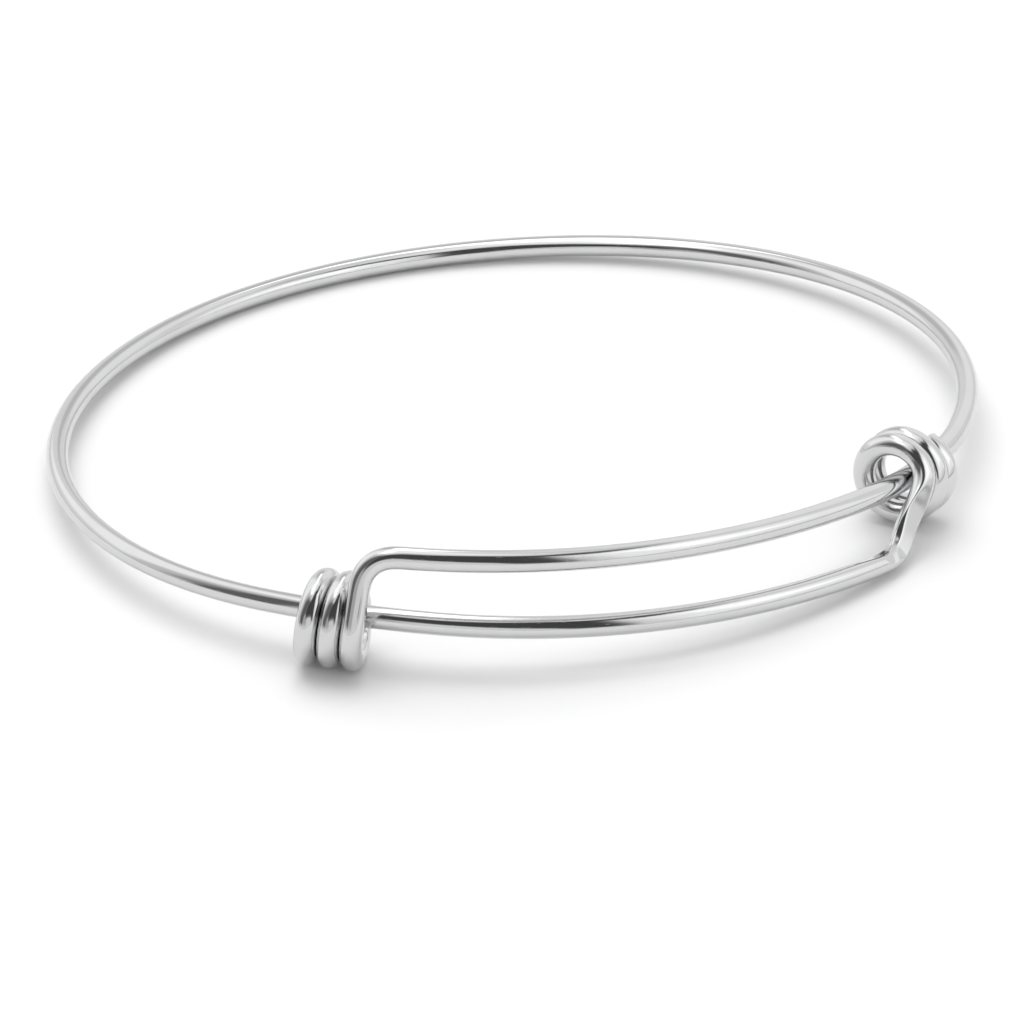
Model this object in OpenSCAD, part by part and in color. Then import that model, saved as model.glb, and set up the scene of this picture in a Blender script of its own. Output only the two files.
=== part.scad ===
// Adjustable bangle bent from one length of round wire. Millimetres, +Z up, standing on z = 0.
// The two ends of the wire pass each other at the front. Each end is wound as a small coil
// round the other strand, so the hoop can spring wider and the coils slide along the strands.
// X runs along the oval's long axis, the coils are on the -Y side, and the origin is on the
// floor under the middle of the whole part. Angles are measured round the oval's own middle,
// from its right end.

/* [Wire] */
// Diameter of the round wire
wire_diameter = 1.6; // [1.4:0.1:1.6]

/* [Hoop] */
// Outside length of the oval, side to side
hoop_length = 69; // [64:1:76]
// Outside width of the oval, back to front
hoop_width = 59.4; // [54:0.2:64]
// How far the right end swells out and the left end is drawn in
hoop_swell = 0.3; // [0:0.1:0.5]

/* [Coils] */
// Full turns in each coil, counted on its front side
coil_turns = 3; // [2:1:3]
// Clear hole of a coil, which the other strand passes through
coil_hole = 3.8; // [3.6:0.1:4]
// Spacing of the turns, as a share of the wire diameter
turn_spacing = 1.04; // [1.03:0.01:1.1]
// Place of the left coil round the oval, degrees
left_coil_angle = 225.6; // [223:0.2:228]
// Place of the right coil round the oval, degrees
right_coil_angle = -50; // [-52:0.5:-48]
// How steeply the right coil's axis dips towards the back, degrees
right_coil_dip = 8; // [4:1:10]

/* [Strands] */
// Height of the upper strand's centre above the floor at its left bend
upper_height = 9.2; // [8.8:0.1:9.8]
// Height of the lower strand's centre above the floor at its right bend
lower_height = 0.9; // [0.9:0.1:1.2]
// How far the upper strand's middle is drawn in from the oval
upper_draw_in = 0.8; // [0.6:0.1:1]
// How far the upper strand stands out from the oval at its left bend
upper_stand_out = 1.3; // [1.2:0.1:1.6]
// How far the lower strand stands out from the oval at its right bend
lower_stand_out = 2.2; // [2:0.1:2.4]

/* [Hidden] */
metal = [0.78, 0.79, 0.80];

wire_r = wire_diameter / 2;
coil_r = (coil_hole + wire_diameter) / 2;
turn_pitch = wire_diameter * turn_spacing;
coil_z = coil_r + wire_r;
right_coil_z = coil_r * cos(right_coil_dip) + turn_pitch / 2 * sin(right_coil_dip) + wire_r;
oval_x = (hoop_length - wire_diameter) / 2;
oval_y = (hoop_width - wire_diameter) / 2;

// Angle wound on from a coil's front side to where its stem joins it, to its middle, and to its
// cut end.
middle_phase = 180 * coil_turns - 90;
left_start_phase = 0;
left_end_phase = middle_phase + 410;
right_start_phase = 55;
right_end_phase = middle_phase + 340;

// A strand leaves the oval's own line a little before its coil, by these angles, and bends into
// its stem these distances past the coil's first turn.
right_lead = 12;
left_lead = 9.6;
upper_bend_past = 0.3;
lower_bend_past = 4.1;
right_leave = right_coil_angle + right_lead;
left_leave = left_coil_angle - left_lead;
first_turn = turn_pitch * middle_phase / 360;
function turned(length, a) = length / norm([oval_x * sin(a), oval_y * cos(a)]) * 180 / PI;
upper_bend_angle =
    left_coil_angle - 360 + turned(first_turn + upper_bend_past, left_coil_angle);
lower_bend_angle =
    right_coil_angle + 360 - turned(first_turn + lower_bend_past, right_coil_angle);

// Shares of a strand's way over which it begins to stand out, and to climb or fall.
out_start = 0.3;
climb_start = 0.25;

// The left coil sits out from the oval and the right one in, so that the strands lie close to
// the walls of the holes, with these gaps.
left_gap = 0.4;
right_gap = 0.22;
slack = (coil_hole - wire_diameter) / 2;
left_coil_out = strand_out(left_coil_angle) + slack - left_gap;
right_coil_out = strand_out(right_coil_angle) - slack + right_gap;

// Lengths of wire taken up by the bends between a strand and its stem.
upper_bend = 2.2;
lower_bend = 1.4;

// How roundly a stem leaves its coil, reaches its bend, and turns there, as shares of its length.
coil_pull = 0.4;
stem_pull = 0.35;
bend_pull = 0.6;

// Sides of the wire's section, and steps along each stretch of it.
sides = 12;
hoop_steps = 150;
stem_steps = 9;
bend_steps = 9;
coil_step = 15;
end_chamfer = 0.15;

function unit(v) = v / norm(v);

// Oval centreline, its direction of travel and its outward side.
function swell(a) = hoop_swell * cos(3 * a);
function oval(a) = [(oval_x + swell(a)) * cos(a), (oval_y + swell(a)) * sin(a)];
function along(a) = unit([-oval_x * sin(a), oval_y * cos(a)]);
function outward(a) = [along(a)[1], -along(a)[0]];

// The hoop rests on its back and rises to the height of the coils' axes where it enters them,
// at this share of its half width in front of the middle.
entry_share = 0.6;
entry_y = -entry_share * oval_y;
rise_rate = (coil_z - wire_r) / (oval_y - entry_y);
function hoop_z(a) = wire_r + (oval_y - oval(a)[1]) * rise_rate;

// A strand's share of the way from its coil to its bend, and a straight climb with a soft start.
function upper_share(a) = max(0, (right_leave - a) / (right_leave - upper_bend_angle));
function lower_share(a) = max(0, (a - left_leave) / (lower_bend_angle - left_leave));
function soft(s, start) = (s < start ? s * s / (2 * start) : s - start / 2) / (1 - start / 2);

function strand_out(a) =
    let (u = upper_share(a), w = lower_share(a))
    upper_stand_out * u * u - 4 * upper_draw_in * u * (1 - u)
        + lower_stand_out * soft(w, out_start);
function strand_z(a) =
    let (upper_rise = upper_height - hoop_z(upper_bend_angle),
         lower_fall = lower_height - hoop_z(lower_bend_angle))
    hoop_z(a) + upper_rise * soft(upper_share(a), climb_start)
        + lower_fall * soft(lower_share(a), climb_start);
function strand(a) =
    let (p = oval(a) + strand_out(a) * outward(a))
    [p[0], p[1], strand_z(a)];

// A coil point. The phase is the angle wound on from the coil's front side. The left coil winds
// down and leftwards, the right one up and rightwards. The axis dips towards the back by `dip`.
function coil_point(angle, out, height, dip, turn, phase) =
    let (a = turn * phase,
         middle = oval(angle) + out * outward(angle),
         run = along(angle),
         side = outward(angle),
         advance = turn * turn_pitch * (phase - middle_phase) / 360,
         lift = coil_r * sin(a),
         reach = advance * cos(dip) + lift * sin(dip),
         p = middle + coil_r * cos(a) * side + reach * run)
    [p[0], p[1], height + lift * cos(dip) - advance * sin(dip)];
function left_coil(phase) =
    coil_point(left_coil_angle, left_coil_out, coil_z, 0, -1, phase);
function right_coil(phase) =
    coil_point(right_coil_angle, right_coil_out, right_coil_z, right_coil_dip, 1, phase);

function curve(p0, p1, p2, p3, t) =
    pow(1 - t, 3) * p0 + 3 * t * pow(1 - t, 2) * p1 + 3 * t * t * (1 - t) * p2 + pow(t, 3) * p3;

// Stem from a coil's first point to the bend, then the bend into the strand.
function stem(coil_start, coil_before, corner, strand_start, strand_next, bend) =
    let (up = unit(corner - coil_start),
         leave = unit(coil_before - coil_start),
         arrive = unit(strand_start - strand_next),
         top = corner - bend * up,
         reach = norm(top - coil_start))
    concat(
        [for (i = [1 : stem_steps])
            curve(coil_start, coil_start + coil_pull * reach * leave,
                  top - stem_pull * reach * up, top, i / stem_steps)],
        [for (i = [1 : bend_steps - 1])
            curve(top, top + bend_pull * bend * up,
                  strand_start + bend_pull * bend * arrive, strand_start, i / bend_steps)]);

upper_start_angle = upper_bend_angle + upper_bend / oval_x * 180 / PI;
lower_end_angle = lower_bend_angle - lower_bend / oval_x * 180 / PI;

// Small angles from which the wire's direction is found at a coil's start and a strand's end.
coil_nudge = 1;
strand_nudge = 0.5;
left_stem = stem(left_coil(left_start_phase), left_coil(left_start_phase - coil_nudge),
                 strand(upper_bend_angle), strand(upper_start_angle),
                 strand(upper_start_angle + strand_nudge), upper_bend);
right_stem = stem(right_coil(right_start_phase), right_coil(right_start_phase - coil_nudge),
                  strand(lower_bend_angle), strand(lower_end_angle),
                  strand(lower_end_angle - strand_nudge), lower_bend);

function reversed(list) = [for (i = [len(list) - 1 : -1 : 0]) list[i]];
function phases(start, end) =
    let (count = ceil((end - start) / coil_step))
    [for (i = [0 : count]) start + (end - start) * i / count];

// The wire's whole centreline, from the left coil's cut end to the right coil's.
path = concat(
    reversed([for (ph = phases(left_start_phase, left_end_phase)) left_coil(ph)]),
    left_stem,
    [for (i = [0 : hoop_steps])
        strand(upper_start_angle + (lower_end_angle - upper_start_angle) * i / hoop_steps)],
    reversed(right_stem),
    [for (ph = phases(right_start_phase, right_end_phase)) right_coil(ph)]);
last = len(path) - 1;

function heading(i) = unit(path[min(i + 1, last)] - path[max(i - 1, 0)]);
function square_to(v, i) = unit(v - (v * heading(i)) * heading(i));

// Each section's side direction is carried on from the one before, so the wire never twists.
side_dirs = [for (i = 0, v = square_to([0, 0, 1], 0); i <= last;
                  v = i < last ? square_to(v, i + 1) : v, i = i + 1) v];

function section_r(i) = (i == 0 || i == last) ? wire_r - end_chamfer : wire_r;
function section(i, centre) =
    let (v = side_dirs[i], w = cross(heading(i), v))
    [for (k = [0 : sides - 1])
        centre + section_r(i) * (cos(360 * k / sides) * v + sin(360 * k / sides) * w)];

wire_points = [for (i = [0 : last]) each section(i, path[i])];
low = [for (k = [0 : 2]) min([for (p = wire_points) p[k]])];
high = [for (k = [0 : 2]) max([for (p = wire_points) p[k]])];
floor_middle = [(low[0] + high[0]) / 2, (low[1] + high[1]) / 2, low[2]];

module bangle_wire()
    color(metal)
    translate(-floor_middle)
    polyhedron(
        points = wire_points,
        faces = concat(
            [[for (k = [0 : sides - 1]) k]],
            [for (i = [0 : last - 1], k = [0 : sides - 1])
                let (n = (k + 1) % sides, here = i * sides, next = here + sides)
                each [[here + k, next + k, next + n], [here + k, next + n, here + n]]],
            [[for (k = [sides - 1 : -1 : 0]) last * sides + k]]),
        convexity = 10);

bangle_wire();
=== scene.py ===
# %% [markdown]
# An adjustable bangle, bent from one length of polished round wire. The two ends pass each other
# at the front, and each end is wound three times round the other strand, so the hoop can spring
# wider and close again. There is no clasp, no setting and no second piece: everything that shows
# is the wire, so the whole look comes from its bends, its polish and what it mirrors.
#
# The wire could be a bevelled curve, or a tube pushed along the route ring by ring. Here it is
# made as it is in the workshop: a straight rod is cut to length, its ends are rounded, it is bent
# along the route, and the pliers that bend it leave their marks. The straight rod also gives every
# point a place along the wire, which the finish uses for lines that follow every bend.

# %% Load the fixed frame
import math

import bmesh
import bpy
import numpy as np
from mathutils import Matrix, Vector


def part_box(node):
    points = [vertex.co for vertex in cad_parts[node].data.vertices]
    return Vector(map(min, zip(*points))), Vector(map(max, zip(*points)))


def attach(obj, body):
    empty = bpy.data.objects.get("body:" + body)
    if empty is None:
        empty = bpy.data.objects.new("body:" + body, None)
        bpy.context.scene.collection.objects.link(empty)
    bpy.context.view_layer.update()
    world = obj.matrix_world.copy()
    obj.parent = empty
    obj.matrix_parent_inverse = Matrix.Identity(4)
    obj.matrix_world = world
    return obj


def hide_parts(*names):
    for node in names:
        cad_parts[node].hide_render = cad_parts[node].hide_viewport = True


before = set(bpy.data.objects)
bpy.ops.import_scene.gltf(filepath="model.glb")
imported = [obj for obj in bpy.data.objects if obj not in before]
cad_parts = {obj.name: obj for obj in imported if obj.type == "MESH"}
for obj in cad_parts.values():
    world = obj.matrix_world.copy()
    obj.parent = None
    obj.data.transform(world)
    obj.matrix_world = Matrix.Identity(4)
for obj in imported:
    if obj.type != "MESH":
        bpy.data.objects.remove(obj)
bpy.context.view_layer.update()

# %% [markdown]
# Every size is a real one, in metres. The oval and the places of the coils are the same as in
# the solid that this piece stands for, so the two lie in the same space. Turns are spaced in
# diameters of the wire, and angles are in degrees.

# %% Sizes of the bangle
MM = 0.001
WIRE_DIAMETER = 1.6 * MM
HOOP_LENGTH = 69 * MM
HOOP_WIDTH = 59.4 * MM
HOOP_SWELL = 0.3 * MM
COIL_TURNS = 3
COIL_HOLE = 3.8 * MM
TURN_SPACING = 1.01
LEFT_COIL_ANGLE = 225.6
RIGHT_COIL_ANGLE = -50
RIGHT_COIL_DIP = 8
UPPER_HEIGHT = 9.2 * MM
LOWER_HEIGHT = 0.9 * MM
UPPER_DRAW_IN = 0.8 * MM
UPPER_STAND_OUT = 1.3 * MM
LOWER_STAND_OUT = 2.2 * MM

wire_radius = WIRE_DIAMETER / 2
coil_radius = (COIL_HOLE + WIRE_DIAMETER) / 2
turn_pitch = WIRE_DIAMETER * TURN_SPACING
oval_x = (HOOP_LENGTH - WIRE_DIAMETER) / 2
oval_y = (HOOP_WIDTH - WIRE_DIAMETER) / 2
print(f"wire {WIRE_DIAMETER / MM:.1f} mm, turns {turn_pitch / MM:.2f} mm apart")

# %% [markdown]
# The hoop is an oval that swells a little to the right. It touches the table at its back and
# rises evenly towards the front, to the height of the coils' middles where it enters them. A
# circle squashed in one direction would do for a plain oval, but a formula in the angle also takes
# the swell. Angles go round the oval from its right end.

# %% The oval and its two directions
def cos(degrees):
    return math.cos(math.radians(degrees))


def sin(degrees):
    return math.sin(math.radians(degrees))


def unit(vector):
    return vector / np.linalg.norm(vector)


def oval(angle):
    swell = HOOP_SWELL * cos(3 * angle)
    return np.array([(oval_x + swell) * cos(angle), (oval_y + swell) * sin(angle)])


def along(angle):
    return unit(np.array([-oval_x * sin(angle), oval_y * cos(angle)]))


def outward(angle):
    run = along(angle)
    return np.array([run[1], -run[0]])


ENTRY_SHARE = 0.6
coil_height = coil_radius + wire_radius
rise_rate = (coil_height - wire_radius) / (oval_y * (1 + ENTRY_SHARE))


def hoop_height(angle):
    return wire_radius + (oval_y - oval(angle)[1]) * rise_rate


print(f"hoop's middle line {2 * oval_x / MM:.1f} by {2 * oval_y / MM:.1f} mm, rising towards the",
      f"front by {math.degrees(math.atan(rise_rate)):.1f} degrees")

# %% [markdown]
# At the front the hoop's two ends run past each other as an upper and a lower strand. Each leaves
# the oval's line shortly before the coil that it runs through, by the angle of its lead, and runs
# on until it bends into the stem of the coil at its own end. The bends could be placed by eye, but
# they are worked out from the coils' first turns, so that they follow a coil that is moved.

# %% Where the strands leave the oval and where they bend
MIDDLE_PHASE = 180 * COIL_TURNS - 90
RIGHT_LEAD = 12
LEFT_LEAD = 9.6
UPPER_BEND_PAST = 0.3 * MM
LOWER_BEND_PAST = 4.1 * MM

right_leave = RIGHT_COIL_ANGLE + RIGHT_LEAD
left_leave = LEFT_COIL_ANGLE - LEFT_LEAD
first_turn = turn_pitch * MIDDLE_PHASE / 360


def turned(length, angle):
    """The angle that a length takes up at this place of the oval."""
    pace = np.linalg.norm([oval_x * sin(angle), oval_y * cos(angle)])
    return math.degrees(length / pace)


upper_bend_angle = LEFT_COIL_ANGLE - 360 + turned(first_turn + UPPER_BEND_PAST, LEFT_COIL_ANGLE)
lower_bend_angle = RIGHT_COIL_ANGLE + 360 - turned(first_turn + LOWER_BEND_PAST, RIGHT_COIL_ANGLE)
print(f"upper bend at {upper_bend_angle:.1f} degrees, lower bend at {lower_bend_angle:.1f}")

# %% [markdown]
# The upper strand climbs, is drawn in along its middle and stands out at its bend. The lower one
# sinks to the table and stands out. They could be curves through a few points, but heights and
# offsets laid over the oval's line keep the two running side by side. A strand's share goes from
# 0, where it leaves the oval, to 1 at its bend.

# %% The two strands
OUT_START = 0.3
CLIMB_START = 0.25


def upper_share(angle):
    return max(0, (right_leave - angle) / (right_leave - upper_bend_angle))


def lower_share(angle):
    return max(0, (angle - left_leave) / (lower_bend_angle - left_leave))


def soft(share, start):
    """A straight rise from 0 to 1 that begins softly, over its first part."""
    eased = share * share / (2 * start) if share < start else share - start / 2
    return eased / (1 - start / 2)


def strand_out(angle):
    upper, lower = upper_share(angle), lower_share(angle)
    return (UPPER_STAND_OUT * upper ** 2 - 4 * UPPER_DRAW_IN * upper * (1 - upper)
            + LOWER_STAND_OUT * soft(lower, OUT_START))


def strand(angle):
    upper_rise = UPPER_HEIGHT - hoop_height(upper_bend_angle)
    lower_fall = LOWER_HEIGHT - hoop_height(lower_bend_angle)
    height = (hoop_height(angle) + upper_rise * soft(upper_share(angle), CLIMB_START)
              + lower_fall * soft(lower_share(angle), CLIMB_START))
    return np.array([*(oval(angle) + strand_out(angle) * outward(angle)), height])


print(f"bends {strand(upper_bend_angle)[2] / MM:.1f} and {strand(lower_bend_angle)[2] / MM:.1f} mm",
      "above the table")

# %% [markdown]
# Each coil is a close helix of three turns round the other strand. Spinning a circle would make a
# coil by itself, but the wire is one piece, so the helix is only a stretch of its route. Its phase
# is the angle wound on from its front side: the left coil winds down and leftwards, the right one
# up and rightwards. The left coil sits out from the oval and the right one in, so that a strand
# lies close to one wall of the hole. The cut end is tucked in towards the strand, so that it can't
# catch on a sleeve.

# %% The two coils
LEFT_END_PHASE = MIDDLE_PHASE + 410
RIGHT_START_PHASE = 55
RIGHT_END_PHASE = MIDDLE_PHASE + 340
LEFT_GAP = 0.4 * MM
RIGHT_GAP = 0.22 * MM
TUCK = 0.45 * MM
TUCKED_TURN = 70

slack = (COIL_HOLE - WIRE_DIAMETER) / 2
left_coil_out = strand_out(LEFT_COIL_ANGLE) + slack - LEFT_GAP
right_coil_out = strand_out(RIGHT_COIL_ANGLE) - slack + RIGHT_GAP
right_coil_height = (coil_radius * cos(RIGHT_COIL_DIP) + turn_pitch / 2 * sin(RIGHT_COIL_DIP)
                     + wire_radius)


def smooth(share):
    """A rise from 0 to 1 that begins and ends softly."""
    share = np.clip(share, 0, 1)
    return share * share * (3 - 2 * share)


def coil_point(angle, out, height, dip, turn, phase, end_phase):
    advance = turn * turn_pitch * (phase - MIDDLE_PHASE) / 360
    radius = coil_radius - TUCK * smooth(1 - (end_phase - phase) / TUCKED_TURN)
    lift = radius * sin(turn * phase)
    reach = advance * cos(dip) + lift * sin(dip)
    side = out + radius * cos(turn * phase)
    place = oval(angle) + side * outward(angle) + reach * along(angle)
    return np.array([*place, height + lift * cos(dip) - advance * sin(dip)])


def left_coil(phase):
    return coil_point(LEFT_COIL_ANGLE, left_coil_out, coil_height, 0, -1, phase, LEFT_END_PHASE)


def right_coil(phase):
    return coil_point(RIGHT_COIL_ANGLE, right_coil_out, right_coil_height, RIGHT_COIL_DIP, 1,
                      phase, RIGHT_END_PHASE)


print("cut ends, mm:", np.round(left_coil(LEFT_END_PHASE) / MM, 1),
      np.round(right_coil(RIGHT_END_PHASE) / MM, 1))

# %% [markdown]
# A stem joins each coil to its strand. It is one smooth curve up from the coil and a tighter one
# round the bend, each a cubic curve with its pulls set as shares of its length. An arc would give
# the bend one even radius, but wire that is bent by hand tightens towards the middle of a bend.
# A stem sets out and arrives in the direction of a small nudge along the coil or the strand.

# %% The stems
UPPER_BEND = 2.2 * MM
LOWER_BEND = 1.4 * MM
LEFT_PULLS = 0.2, 0.5
RIGHT_PULLS = 0.4, 0.35
BEND_PULL = 0.6
COIL_NUDGE = 1
STRAND_NUDGE = 0.5
STEM_STEPS = 60


def curve(first, leaving, arriving, last):
    """Places along a cubic curve from first to last, with two more that pull it their way."""
    return [(1 - t) ** 3 * first + 3 * t * (1 - t) ** 2 * leaving
            + 3 * t * t * (1 - t) * arriving + t ** 3 * last
            for t in np.linspace(0, 1, STEM_STEPS + 1)[1:]]


def stem(coil_start, coil_before, corner, strand_start, strand_next, bend, pulls):
    up = unit(corner - coil_start)
    leave = unit(coil_before - coil_start)
    arrive = unit(strand_start - strand_next)
    top = corner - bend * up
    reach = np.linalg.norm(top - coil_start)
    rise = curve(coil_start, coil_start + pulls[0] * reach * leave,
                 top - pulls[1] * reach * up, top)
    turn = curve(top, top + BEND_PULL * bend * up,
                 strand_start + BEND_PULL * bend * arrive, strand_start)
    return rise + turn[:-1]


upper_start = upper_bend_angle + math.degrees(UPPER_BEND / oval_x)
lower_end = lower_bend_angle - math.degrees(LOWER_BEND / oval_x)
left_stem = stem(left_coil(0), left_coil(-COIL_NUDGE), strand(upper_bend_angle),
                 strand(upper_start), strand(upper_start + STRAND_NUDGE), UPPER_BEND, LEFT_PULLS)
right_stem = stem(right_coil(RIGHT_START_PHASE), right_coil(RIGHT_START_PHASE - COIL_NUDGE),
                  strand(lower_bend_angle), strand(lower_end),
                  strand(lower_end - STRAND_NUDGE), LOWER_BEND, RIGHT_PULLS)
print(len(left_stem) + len(right_stem), "places along the two stems")

# %% [markdown]
# The whole route runs from the left coil's cut end to the right coil's. It is cut into even steps
# and eased a little, because in polished wire the eye finds every place where one curve joins
# another: the mirrored lines would kink there.

# %% The whole route of the wire
HOOP_STEPS = 3000
COIL_STEP = 2
RING_SPACING = 0.22 * MM
EASING_PASSES = 10


def lengths(points):
    """How far along a line of points each of them is."""
    return np.r_[0, np.cumsum(np.linalg.norm(np.diff(points, axis=0), axis=1))]


def between(values, places, wanted):
    """Rows of values, known at some places, worked out at the wanted ones."""
    return np.stack([np.interp(wanted, places, column) for column in values.T], axis=1)


def evenly(points, count):
    places = lengths(points)
    return between(points, places, np.linspace(0, places[-1], count))


left_turns = [left_coil(phase) for phase in np.arange(LEFT_END_PHASE, -COIL_STEP, -COIL_STEP)]
right_turns = [right_coil(phase)
               for phase in np.arange(RIGHT_START_PHASE, RIGHT_END_PHASE + COIL_STEP, COIL_STEP)]
hoop = [strand(angle) for angle in np.linspace(upper_start, lower_end, HOOP_STEPS)]
route = np.array(left_turns + left_stem + hoop + right_stem[::-1] + right_turns)

rings = int(lengths(route)[-1] / RING_SPACING) + 1
centreline = evenly(route, rings)
for _ in range(EASING_PASSES):
    centreline[1:-1] = (centreline[:-2] + 2 * centreline[1:-1] + centreline[2:]) / 4
centreline = evenly(centreline, rings)
wire_length = lengths(centreline)[-1]
print(f"{rings} rings along {wire_length / MM:.1f} mm of wire")

# %% [markdown]
# The solid stands with its box centred on the origin and its lowest point on the table, so the
# route is shifted by the same rule. The box of a round wire reaches a radius past its centreline,
# less where the wire slopes.

# %% Set the route in the solid's own place
heading = np.gradient(centreline, axis=0)
heading /= np.linalg.norm(heading, axis=1)[:, None]
past_centre = wire_radius * np.sqrt(1 - heading ** 2)
lowest = (centreline - past_centre).min(axis=0)
highest = (centreline + past_centre).max(axis=0)
node_low, node_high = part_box("bangle_wire")
centreline -= [(lowest[0] + highest[0]) / 2, (lowest[1] + highest[1]) / 2, lowest[2]]
centreline += [(node_low.x + node_high.x) / 2, (node_low.y + node_high.y) / 2, node_low.z]
print("route's box, mm:", np.round((highest - lowest) / MM, 2),
      "solid's:", np.round(np.array(node_high - node_low) / MM, 2))

# %% [markdown]
# A section that is carried along the route must not twist, or every line in the polish would wind
# round the wire. Directions worked out from the route's own curvature would flip wherever it bends
# the other way. So each side direction is the one before it, made square to the new heading.

# %% Side directions that never twist
sideways = np.empty_like(heading)
carried = np.array([0, 0, 1.0])
for ring, way in enumerate(heading):
    carried = unit(carried - (carried @ way) * way)
    sideways[ring] = carried
across = np.cross(heading, sideways)
bends = np.degrees(np.arccos(np.clip((heading[1:] * heading[:-1]).sum(axis=1), -1, 1)))
print(f"the wire bends by {bends.max():.1f} degrees from ring to ring at most")

# %% [markdown]
# The straight rod: a circle is filled and drawn out to the wire's length, its two end faces get
# the small rounded edge that tumbling leaves, and its long edges are cut into rings. A cylinder
# would start at the same place, but drawing a circle out is how a die makes the real rod.

# %% Straight rod of the wire's length
SIDES = 54
END_ROUND = 0.16 * MM
END_SEGMENTS = 4


def finished_mesh(shape, name):
    """The mesh of a bmesh that is finished with."""
    mesh = bpy.data.meshes.new(name)
    shape.to_mesh(mesh)
    shape.free()
    return mesh


rod = bmesh.new()
bmesh.ops.create_circle(rod, cap_ends=True, radius=wire_radius, segments=SIDES)
drawn = bmesh.ops.extrude_face_region(rod, geom=rod.faces[:])
tip = [item for item in drawn["geom"] if isinstance(item, bmesh.types.BMVert)]
bmesh.ops.translate(rod, vec=Vector((0, 0, wire_length)), verts=tip)
bmesh.ops.recalc_face_normals(rod, faces=rod.faces[:])
rims = [edge for edge in rod.edges if abs(edge.verts[0].co.z - edge.verts[1].co.z) < MM]
bmesh.ops.bevel(rod, geom=rims, offset=END_ROUND, segments=END_SEGMENTS, profile=0.5,
                affect="EDGES", material=-1)
long_edges = [edge for edge in rod.edges if edge.calc_length() > wire_length / 2]
bmesh.ops.subdivide_edges(rod, edges=long_edges, cuts=rings - 2, use_grid_fill=False)
print(len(rod.verts), "points,", len(rod.faces), "faces in the rod")
wire_mesh = finished_mesh(rod, "bangle_wire_polished")

# %% [markdown]
# The finish needs each point's place on the straight rod, so it is kept as an attribute before
# the rod is bent. It is in millimetres, with the wire's length along its third number. A Curve
# modifier could bend the rod too, but it turns the section by rules of its own.

# %% Keep the straight places, then bend the rod
straight = np.empty(3 * len(wire_mesh.vertices), np.float32)
wire_mesh.vertices.foreach_get("co", straight)
straight = straight.reshape(-1, 3).astype(float)
kept = wire_mesh.attributes.new("straight", "FLOAT_VECTOR", "POINT")
kept.data.foreach_set("vector", (straight / MM).astype(np.float32).ravel())
distance = straight[:, 2]


def at_points(values):
    """The rings' values, worked out at every point's distance along the wire."""
    return between(values, np.linspace(0, wire_length, rings), distance)


bent = (at_points(centreline) + straight[:, :1] * at_points(sideways)
        + straight[:, 1:2] * at_points(across))
print(f"{len(bent)} points bent, up to {bent[:, 2].max() / MM:.2f} mm above the table")

# %% [markdown]
# The right stem is short and its bend is sharp, so it was gripped hard, and the pliers have left
# their marks: two flats along the front of the stem, a small nip inside the bend, and a flat on top
# of the strand beside it. They can't be bevels, because each one fades out along the wire. Instead
# whatever stands out further than a flat is pushed back on to it, with a softly rounded edge.

# %% Press in the marks of the pliers
EDGE_ROUND = 0.02 * MM
EDGE_CLEAR = 4 * EDGE_ROUND
BEND_FROM_END = 41.5 * MM


def facing(azimuth, height):
    """A direction, with azimuths going round from the front, positive to the right."""
    return np.array([sin(azimuth) * cos(height), -cos(azimuth) * cos(height), sin(height)])


MARKS = [
    # first and last place in mm past the bend, fades before and after, depth, direction
    (0.4, 3.3, 1.8, 3.5, 0.40, facing(20, 31)),         # broad flat of the stem
    (-1.0, 1.0, 1.2, 4.6, 0.23, facing(-36, 30)),       # narrow one at its left
    (-0.6, -0.2, 0.6, 0.6, 0.10, facing(-115, 58)),     # nip inside the bend
    (-1.6, -1.0, 5.5, 1.0, 0.16, facing(150, 64)),      # flat on top of the strand
]


def pressed(points, first, last, before, after, depth, direction):
    """Flatten the side of the wire that faces a direction, from the first place to the last."""
    way = at_points(heading)
    push = direction - (way @ direction)[:, None] * way
    push /= np.linalg.norm(push, axis=1)[:, None]
    stand = ((points - at_points(centreline)) * push).sum(axis=1)
    past_bend = (distance - wire_length + BEND_FROM_END) / MM
    held = smooth((past_bend - first) / before + 1) * smooth((last - past_bend) / after + 1)
    limit = wire_radius + EDGE_CLEAR - (depth * MM + EDGE_CLEAR) * held
    flat = -EDGE_ROUND * np.logaddexp(-stand / EDGE_ROUND, -limit / EDGE_ROUND)
    return points + (flat - stand)[:, None] * push


for mark in MARKS:
    bent = pressed(bent, *mark)
print(len(MARKS), "marks pressed in")

# %% [markdown]
# The bent points go back into the rod's mesh. It is shaded smooth, because the edges of its flat
# sides would break up the long reflections. More sides would hide them too, but at the cost of
# many more triangles.

# %% The finished wire
def placed(data):
    """An object at the origin, named after its mesh or lens."""
    item = bpy.data.objects.new(data.name, data)
    bpy.context.scene.collection.objects.link(item)
    return item


wire_mesh.vertices.foreach_set("co", bent.astype(np.float32).ravel())
wire_mesh.shade_smooth()
wire_mesh.update()
wire = placed(wire_mesh)
print("about", 2 * len(wire_mesh.polygons), "triangles")

# %% [markdown]
# Shader maths is written as Python, since a finish that is wired up node by node is hard to read.
# A Plug is one value in a node tree, and its operators add Math nodes.

# %% Write shader maths as expressions
class Plug:
    def __init__(self, tree, socket):
        self.tree = tree
        self.socket = socket

    def math(self, operation, *values):
        return self.tree.node("ShaderNodeMath", {"operation": operation}, dict(enumerate(values)))

    def __add__(self, other):
        return self.math("ADD", self, other)

    def __sub__(self, other):
        return self.math("SUBTRACT", self, other)

    def __rsub__(self, other):
        return self.math("SUBTRACT", other, self)

    def __mul__(self, other):
        return self.math("MULTIPLY", self, other)

    __radd__ = __add__
    __rmul__ = __mul__


# %% [markdown]
# A Tree is the node tree of a material or of the world. Every node in it comes from its one method
# node, and the others are short names for nodes that are used more than once.

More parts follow.
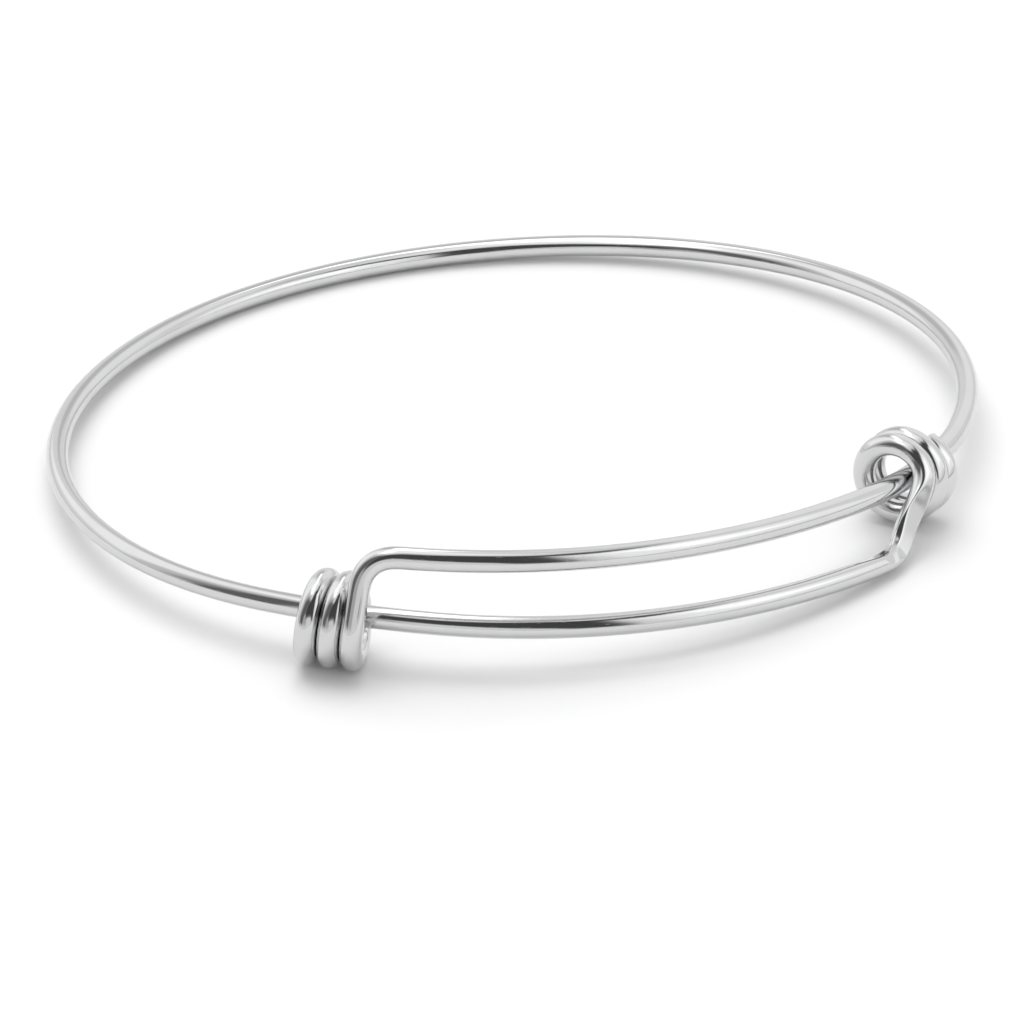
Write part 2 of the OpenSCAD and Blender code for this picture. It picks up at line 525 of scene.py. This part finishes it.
# %% Add nodes with one method
class Tree:
    def __init__(self, node_tree):
        self.nodes = node_tree.nodes
        self.links = node_tree.links
        self.nodes.clear()

    def node(self, kind, settings=None, inputs=None, output=0):
        """Add a node, with its settings first and then its values and links."""
        made = self.nodes.new(kind)
        for name, value in (settings or {}).items():
            setattr(made, name, value)
        for name, value in (inputs or {}).items():
            if isinstance(value, Plug):
                self.links.new(value.socket, made.inputs[name])
            else:
                made.inputs[name].default_value = value
        return Plug(self, made.outputs[output]) if made.outputs else made

    def step(self, value, low, high):
        """0 below low and 1 above high, with a smooth rise between them."""
        return self.node("ShaderNodeMapRange", {"interpolation_type": "SMOOTHSTEP"},
                         {"Value": value, "From Min": low, "From Max": high})

    def mix(self, share, first, second):
        """From the first colour to the second."""
        return self.node("ShaderNodeMix", {"data_type": "RGBA"},
                         {"Factor": share, "A": first, "B": second}, "Result")

    def noise(self, place, scale=1, detail=2, roughness=0.5):
        return self.node("ShaderNodeTexNoise", {},
                         {"Vector": place, "Scale": scale, "Detail": detail,
                          "Roughness": roughness})

    def stretched(self, place, scale, turn=(0, 0, 0)):
        return self.node("ShaderNodeMapping", {},
                         {"Vector": place, "Scale": scale,
                          "Rotation": [math.radians(angle) for angle in turn]})


def new_material(name):
    material = bpy.data.materials.new(name)
    material.use_nodes = True
    return material, Tree(material.node_tree)


def grey(level):
    return (level, level, level, 1)


# %% [markdown]
# The wire's finish is a bright polish on steel. Three things keep it from being a plain mirror:
# the fine lines that the drawing die left along the wire, hairline scratches from wear that cross
# them, and a faint haze in patches where fingers have touched it.
#
# All three are noise, read at the places that were kept from the straight rod. Noise in the room's
# own space would cut across the bends, and here it is stretched along the wire instead. A grain is
# the noise's scale per millimetre, in the two directions across the wire and then along it. A
# range holds the values of the noise between which a patch or a scratch sets in.

# %% Polished steel
STEEL = (0.65, 0.65, 0.654, 1)
HAZED_STEEL = (0.62, 0.62, 0.622, 1)
POLISH = 0.07
LINE_GRAIN = (9, 9, 0.12)
LINE_DETAIL = 4
LINE_COARSENESS = 0.6
LINE_ROUGHNESS = 0.04
LINE_DEPTH = 0.0006 * MM
BROAD_GRAIN = (2.2, 2.2, 0.05)
BROAD_DEPTH = 0.0012 * MM
SCRATCH_GRAIN = (14, 1.1, 0.9)
SCRATCH_TURNS = (24, -31)
SCRATCH_RANGE = 0.69, 0.73
SCRATCH_ROUGHNESS = 0.05
SCRATCH_DEPTH = 0.001 * MM
HAZE_GRAIN = 0.35
HAZE_DETAIL = 3
HAZE_RANGE = 0.42, 0.68
HAZE_ROUGHNESS = 0.05
HAZE_TONE = 0.5


def polished_steel():
    material, tree = new_material("polished_steel")
    place = tree.node("ShaderNodeAttribute", {"attribute_name": "straight"}, {}, "Vector")
    lines = tree.noise(tree.stretched(place, LINE_GRAIN), 1, LINE_DETAIL, LINE_COARSENESS)
    broad = tree.noise(tree.stretched(place, BROAD_GRAIN))
    haze = tree.step(tree.noise(place, HAZE_GRAIN, HAZE_DETAIL), *HAZE_RANGE)
    scratches = 0
    for turn in SCRATCH_TURNS:
        grain = tree.noise(tree.stretched(place, SCRATCH_GRAIN, (turn, turn, turn)))
        scratches = scratches + tree.step(grain, *SCRATCH_RANGE)
    roughness = (POLISH + HAZE_ROUGHNESS * haze + SCRATCH_ROUGHNESS * scratches
                 + LINE_ROUGHNESS * lines)
    relief = LINE_DEPTH * lines + BROAD_DEPTH * broad - SCRATCH_DEPTH * scratches
    bump = tree.node("ShaderNodeBump", {}, {"Height": relief, "Distance": 1, "Strength": 1})
    tone = tree.mix(HAZE_TONE * haze, STEEL, HAZED_STEEL)
    shader = tree.node("ShaderNodeBsdfPrincipled", {},
                       {"Base Color": tone, "Metallic": 1, "Roughness": roughness,
                        "Normal": bump})
    tree.node("ShaderNodeOutputMaterial", {}, {"Surface": shader})
    return material


wire_mesh.materials.append(polished_steel())
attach(wire, "root")
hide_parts("bangle_wire")
print(len(wire_mesh.materials[0].node_tree.nodes), "nodes in the steel")

# %% [markdown]
# The table is a plain sheet of white card that runs far past the view on every side, so that no
# edge of it shows in the picture or in the polish. A backdrop that curves up at the back would do
# as well, but the camera looks down so steeply that it sees nothing but the table.

# %% White table
TABLE_SIZE = 6
CARD_TONE = 0.9
CARD_ROUGHNESS = 0.6
CARD_SHINE = 0.2


def white_card():
    material, tree = new_material("white_card")
    shader = tree.node("ShaderNodeBsdfPrincipled", {},
                       {"Base Color": grey(CARD_TONE), "Roughness": CARD_ROUGHNESS,
                        "Specular IOR Level": CARD_SHINE})
    tree.node("ShaderNodeOutputMaterial", {}, {"Surface": shader})
    return material


sheet = bmesh.new()
bmesh.ops.create_grid(sheet, x_segments=1, y_segments=1, size=TABLE_SIZE / 2)
table_mesh = finished_mesh(sheet, "table")
table_mesh.materials.append(white_card())
table = placed(table_mesh)
print("table", TABLE_SIZE, "m wide")

# %% [markdown]
# Polished wire shows nothing but its surroundings, so the light is the other half of the finish.
# The bangle stands in a small white light tent, open towards the camera and at its left, with one
# long lamp that shines through the roof. The steel draws the two openings as the long dark lines
# of the photograph, and the lamp as the white ones.
#
# A tent this near looks different from each part of the wire, which a light that is infinitely
# far away can't show. So the tent is a real dome over the bangle. It gives its light only to
# the steel: the camera looks through it, and the table is lit by the sky of a later cell.
#
# Each row of the first table is a wall, a roof or an opening, with its corners as directions from
# the middle of the dome. Each row of the second is a strip that follows a line, with its half
# width. Azimuths go round from the front, positive to the right, a second number is a height, and
# all are in degrees. A later row lies over the ones before it.

# %% Walls, openings and lamp of the light tent
WALL_LIGHT = 1.08
LAMP_LIGHT = 2.6
FOOT_HEIGHT = 2
TENT_PANELS = [
    # light, softness, corners
    (1.42, 6, [(-166, 8), (-166, 62), (-116, 64), (-108, 8)]),                 # left back wall
    (1.35, 6, [(-180, 62), (-140, 60), (-60, 60), (-60, 84), (180, 84)]),      # roof, left half
    (1.60, 4, [(-74, 56), (-70, 68), (-130, 68), (-136, 57)]),                 # its brightest part
    (1.50, 5, [(150, 74), (60, 72), (20, 78), (60, 88), (150, 88)]),           # roof, right half
    (1.50, 4, [(-60, 62), (-60, 84), (20, 88), (28, 82), (0, 74), (-20, 70), (-40, 61)]),  # front
    (0.80, 5, [(148, 24), (146, 50), (165, 60), (-176, 56), (-176, 36), (170, 18)]),   # back
    (1.25, 6, [(94, 20), (94, 58), (140, 56), (140, 12), (110, 10)]),          # right wall
    (0.85, 7, [(-112, -10), (-108, 40), (-98, 58), (-80, 58), (-80, -10)]),    # left wall
    (0.40, 7, [(-98, 8), (-96, 38), (-84, 50), (-56, 58), (-56, 30), (-62, 8)]),   # left opening's rim
    (1.40, 4, [(12, 4), (12, 46), (24, 54), (56, 54), (70, 40), (68, 4)]),     # right front wall
    (1.80, 5, [(26, 20), (22, 44), (32, 50), (50, 46), (56, 22)]),             # its brightest part
    (1.00, 5, [(-60, -4), (-60, 18), (4, 18), (4, -4)]),                       # foot of the front
    (0.60, 7, [(-68, 6), (-68, 22), (-42, 22), (-42, 6)]),                     # its left end
    (0.18, 4, [(-90, 5), (-86, 40), (-66, 50), (-46, 50), (-50, 29), (-64, 22),
               (-68, 5)]),                                                     # left opening
    (0.24, 2.5, [(-58, 26), (-56, 44), (-34, 53), (-18, 62), (6, 68), (18, 64), (12, 52), (6, 34),
                 (4, 6), (-8, 6), (-12, 15), (-50, 17)]),                      # front opening
    (0.085, 2.5, [(-54, 28), (-51, 42), (-32, 50), (-16, 59), (6, 66), (14, 62), (9, 50), (3, 32),
                  (1, 10), (-8, 12), (-12, 19), (-50, 21)]),                   # its darkest part
]
TENT_STRIPS = [
    # light, half width, softness, line
    (0.09, 6, 2.5, [(0, 60), (24, 58), (44, 61)]),                             # gap under the roof
    (0.26, 4, 2.5, [(44, 61), (62, 61)]),                                      # its narrow end
    (0.62, 3, 2, [(62, 61), (80, 60)]),                                        # seam past that end
    (0.80, 2, 2, [(80, 60), (112, 66)]),                                       # where it fades out
    (0.92, 1.5, 1.5, [(64, 61), (79, 52), (84, 44), (88, 36)]),                # seam at the right
    (0.95, 1, 2, [(azimuth, FOOT_HEIGHT) for azimuth in range(-66, 5, 10)]),   # foot, front
    (0.40, 1.5, 1.5, [(azimuth, FOOT_HEIGHT) for azimuth in range(4, 66, 10)]),  # foot, front right
    (0.66, 1.5, 1.5, [(azimuth, FOOT_HEIGHT) for azimuth in range(64, 265, 10)]),  # foot, the rest
    (LAMP_LIGHT, 6.5, 3, [(-66, 69), (-112, 79), (170, 79)]),                  # lamp over the roof
    (LAMP_LIGHT, 5.5, 2.5, [(170, 79), (154, 50)]),                            # and at the back
]
print(len(TENT_PANELS), "panels and", len(TENT_STRIPS), "strips")

# %% [markdown]
# The walls could be separate sheets hung in a ring, but sheets have hard edges, and a real tent's
# cloth fades from bright to dark. So the rows are painted on the dome, one over another, each with
# a soft edge. They are drawn on a flat map of the dome that is centred overhead, as on a chart of
# the stars. A degree overhead is the measure for widths and softness everywhere on it.

# %% A map of the dome
MAP_DEGREES = 2 * math.degrees(1)


def on_map(directions):
    """Places on the map of directions, each an azimuth and a height."""
    azimuth, height = np.transpose(directions)
    far = np.tan(np.radians(90 - height) / 2)
    return np.stack([far * np.sin(np.radians(azimuth)), -far * np.cos(np.radians(azimuth))], -1)


def off_line(places, line):
    """How far the places are from the nearest stretch of a line."""
    nearest = np.inf
    for start, end in zip(line[:-1], line[1:]):
        run = end - start
        share = np.clip((places - start) @ run / (run @ run), 0, 1)
        off = np.linalg.norm(places - start - share[:, None] * run, axis=1)
        nearest = np.minimum(nearest, off * MAP_DEGREES)
    return nearest


def off_panel(places, corners):
    """The same for the edge of a panel, with places inside it counted below zero."""
    inside = np.zeros(len(places), bool)
    for start, end in zip(corners, np.roll(corners, -1, axis=0)):
        spanned = (places[:, 1] > start[1]) != (places[:, 1] > end[1])
        slope = (end[0] - start[0]) / (end[1] - start[1])
        inside ^= spanned & (places[:, 0] < start[0] + slope * (places[:, 1] - start[1]))
    off = off_line(places, np.vstack([corners, corners[:1]]))
    return np.where(inside, -off, off)


print("the map reaches", on_map([(0, 0)]).round(2), "at the foot of the front")

# %% [markdown]
# The light starts as the plain wall's everywhere, and each row is mixed over what is there, the
# panels first and then the strips.

# %% Lay the panels and strips over each other
def tent_light(places):
    """The tent's light at places on the map."""
    layers = [(level, softness, off_panel(places, on_map(corners)))
              for level, softness, corners in TENT_PANELS]
    layers += [(level, softness, off_line(places, on_map(line)) - width)
               for level, width, softness, line in TENT_STRIPS]
    light = np.full(len(places), WALL_LIGHT)
    for level, softness, off in layers:
        mask = smooth((softness - off) / (2 * softness))
        light = light * (1 - mask) + level * mask
    return light


print("light overhead:", tent_light(np.zeros((1, 2))).round(2))

# %% [markdown]
# The dome is half of a fine sphere, and keeps the tent's light at each of its points as a colour.
# It faces inwards, has no colour or shine of its own and only glows.

# %% The dome
DOME_STEPS = 180
TENT_RADIUS = 115 * MM
TENT_LIGHT = 0.86


def tent_cloth():
    material, tree = new_material("tent_cloth")
    light = tree.node("ShaderNodeAttribute", {"attribute_name": "light"}, {}, "Color")
    shader = tree.node("ShaderNodeBsdfPrincipled", {},
                       {"Base Color": grey(0), "Roughness": 1, "Specular IOR Level": 0,
                        "Emission Color": light, "Emission Strength": TENT_LIGHT})
    tree.node("ShaderNodeOutputMaterial", {}, {"Surface": shader})
    material.cycles.emission_sampling = "NONE"
    return material


globe = bmesh.new()
bmesh.ops.create_uvsphere(globe, u_segments=2 * DOME_STEPS, v_segments=DOME_STEPS,
                          radius=TENT_RADIUS)
bmesh.ops.bisect_plane(globe, geom=globe.verts[:] + globe.edges[:] + globe.faces[:],
                       plane_co=(0, 0, 0), plane_no=(0, 0, 1), clear_inner=True)
bmesh.ops.reverse_faces(globe, faces=globe.faces[:])
dome_mesh = finished_mesh(globe, "light_tent")
dome_directions = np.array([vertex.co / TENT_RADIUS for vertex in dome_mesh.vertices])
dome_light = tent_light(dome_directions[:, :2] / (1 + dome_directions[:, 2:]))
painted = dome_mesh.attributes.new("light", "FLOAT_COLOR", "POINT")
painted.data.foreach_set("color", np.repeat(dome_light, 4).astype(np.float32))
dome_mesh.materials.append(tent_cloth())
dome = placed(dome_mesh)
for kind in ("camera", "diffuse", "transmission", "volume_scatter", "shadow"):
    setattr(dome, "visible_" + kind, False)
print(len(dome_light), "points in the dome, light", round(dome_light.min(), 2), "to",
      round(dome_light.max(), 2))

# %% [markdown]
# The table is lit by one wide soft light, above and a little behind, and by a weaker light from
# all round. So the shadows fall almost straight below the wire, dark only where it is close to
# the table. Area lamps could give the same shadows, but one sky with a soft bright patch is
# simpler, and a single setting keeps it out of what the steel mirrors.

# %% Soft light on the table
SKY_LIGHT = 0.71
TOP_LIGHT = 3.0
TOP_LEAN = 20
TOP_SPREAD = 26
TOP_SOFTNESS = 9


def soft_sky(world):
    tree = Tree(world.node_tree)
    view = tree.node("ShaderNodeTexCoord", {}, {}, "Generated")
    top = tree.node("ShaderNodeVectorMath", {"operation": "DOT_PRODUCT"},
                    {0: view, 1: (0, sin(TOP_LEAN), cos(TOP_LEAN))}, "Value")
    lit = tree.step(top, cos(TOP_SPREAD + TOP_SOFTNESS), cos(TOP_SPREAD - TOP_SOFTNESS))
    background = tree.node("ShaderNodeBackground", {},
                           {"Color": tree.mix(lit, grey(SKY_LIGHT), grey(TOP_LIGHT))})
    tree.node("ShaderNodeOutputWorld", {}, {"Surface": background})


sky = bpy.data.worlds.new("soft_sky")
sky.use_nodes = True
soft_sky(sky)
sky.cycles_visibility.glossy = False
bpy.context.scene.world = sky
print("soft light", 2 * TOP_SPREAD, "degrees across, leaning back by", TOP_LEAN)

# %% [markdown]
# The camera looks down at the bangle from the front left, through a long lens from half a metre
# away. Its place was worked out by laying the modelled route over the photograph.

# %% Camera at the photograph's angle
CAMERA_AZIMUTH = -25.95
CAMERA_ELEVATION = 29.85
CAMERA_DISTANCE = 550 * MM
CAMERA_TARGET = Vector((-5.46, -9.80, 1.5)) * MM
CLIP_NEAR = 10 * MM
CLIP_FAR = 50
PIXELS_PER_MM = 14.1
FRAME_PIXELS = 1024

back = Vector(facing(CAMERA_AZIMUTH, CAMERA_ELEVATION))
lens = bpy.data.cameras.new("camera")
lens.lens = lens.sensor_width * PIXELS_PER_MM * CAMERA_DISTANCE / MM / FRAME_PIXELS
lens.clip_start = CLIP_NEAR
lens.clip_end = CLIP_FAR
camera = placed(lens)
camera.location = CAMERA_TARGET + back * CAMERA_DISTANCE
camera.rotation_euler = back.to_track_quat("Z", "Y").to_euler()
bpy.context.scene.camera = camera
bpy.context.scene.view_settings.view_transform = "Standard"
print(f"lens {lens.lens:.1f} mm")
